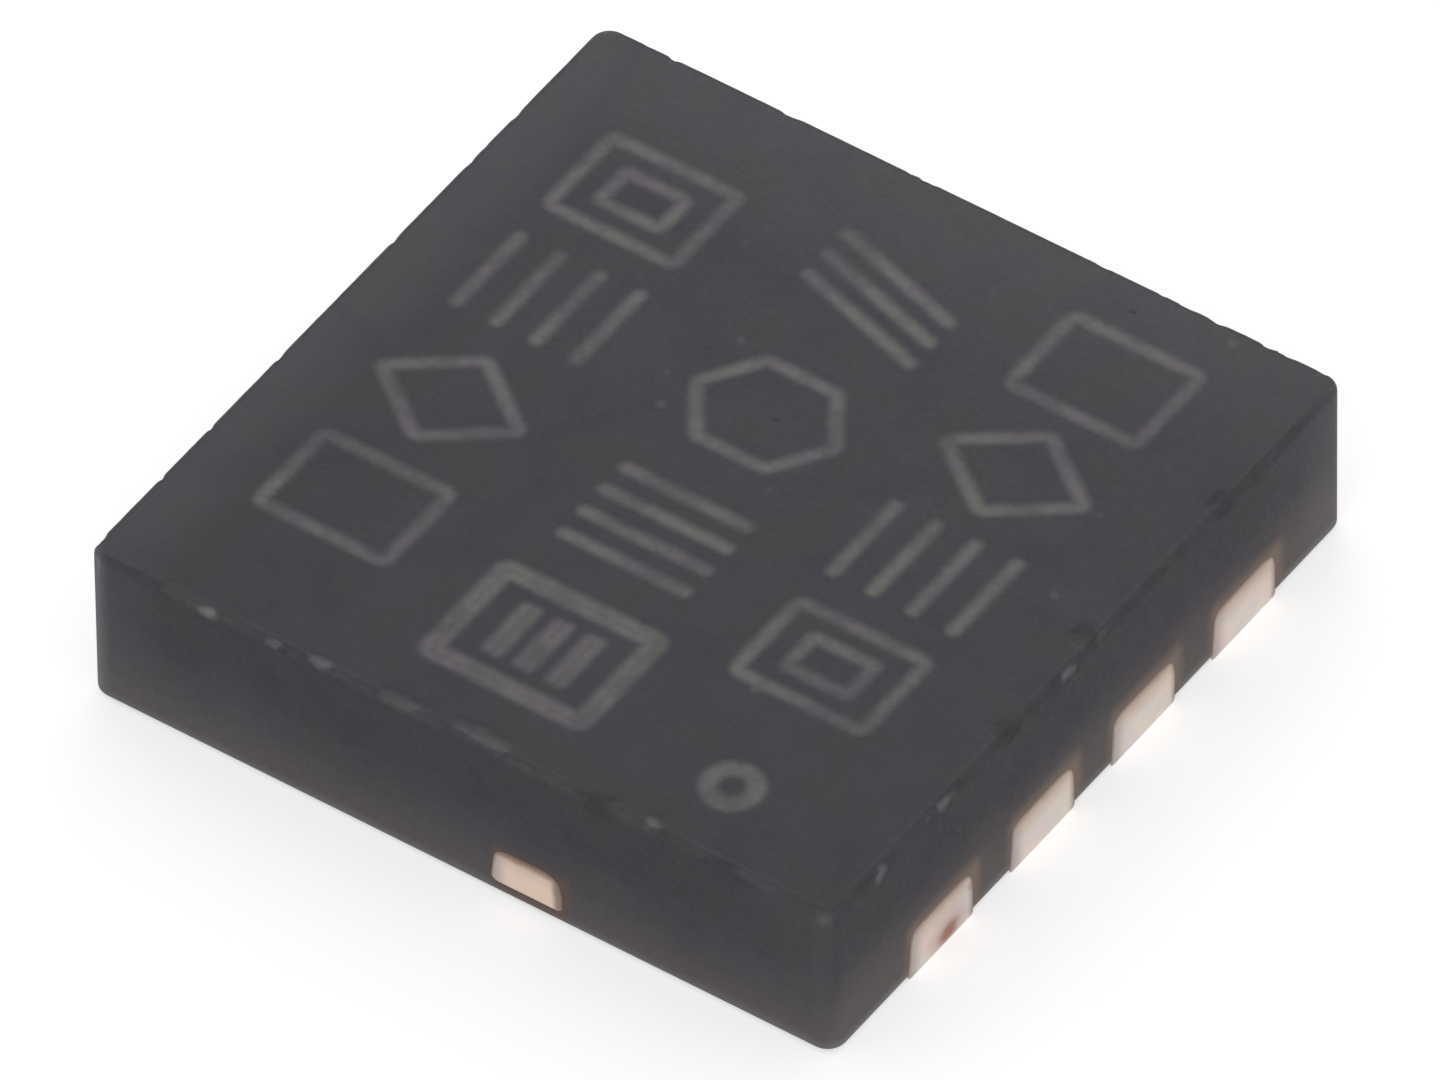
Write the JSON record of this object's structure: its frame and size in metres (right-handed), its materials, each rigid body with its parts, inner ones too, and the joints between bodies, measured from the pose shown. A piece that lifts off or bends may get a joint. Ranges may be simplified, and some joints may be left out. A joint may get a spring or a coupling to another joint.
{
  "type": "smd transistor",
  "caption": "Leadless surface-mount power transistor: moulded block over a copper frame with an exposed drain pad, flush leads, a die, a source clip and a gate wire.",
  "frame": {"origin": "middle of the solder side, on the plane of the board", "axes": "+Z from the board up through the marked top face, +X along the rows of leads from pin 1 to pin 4, -Y towards the source and gate leads"},
  "size_m": [0.0032, 0.0032, 0.0007],
  "materials": {
    "moulding": "fine matt, dark charcoal filled epoxy",
    "frame_copper": "satin pale copper on the cut ends, matt tin on the solder faces",
    "clip_copper": "satin rolled copper",
    "solder": "satin",
    "silicon": "polished dark grey",
    "wire": "bright drawn wire"
  },
  "bodies": {
    "root": {"mould_body": "moulding", "drain_paddle": "frame_copper", "source_lead": "frame_copper", "gate_lead": "frame_copper", "die_attach_solder": "solder", "silicon_die": "silicon", "clip_die_solder": "solder", "source_clip": "clip_copper", "clip_lead_solder": "solder", "gate_wire": "wire"}
  },
  "joints": []
}
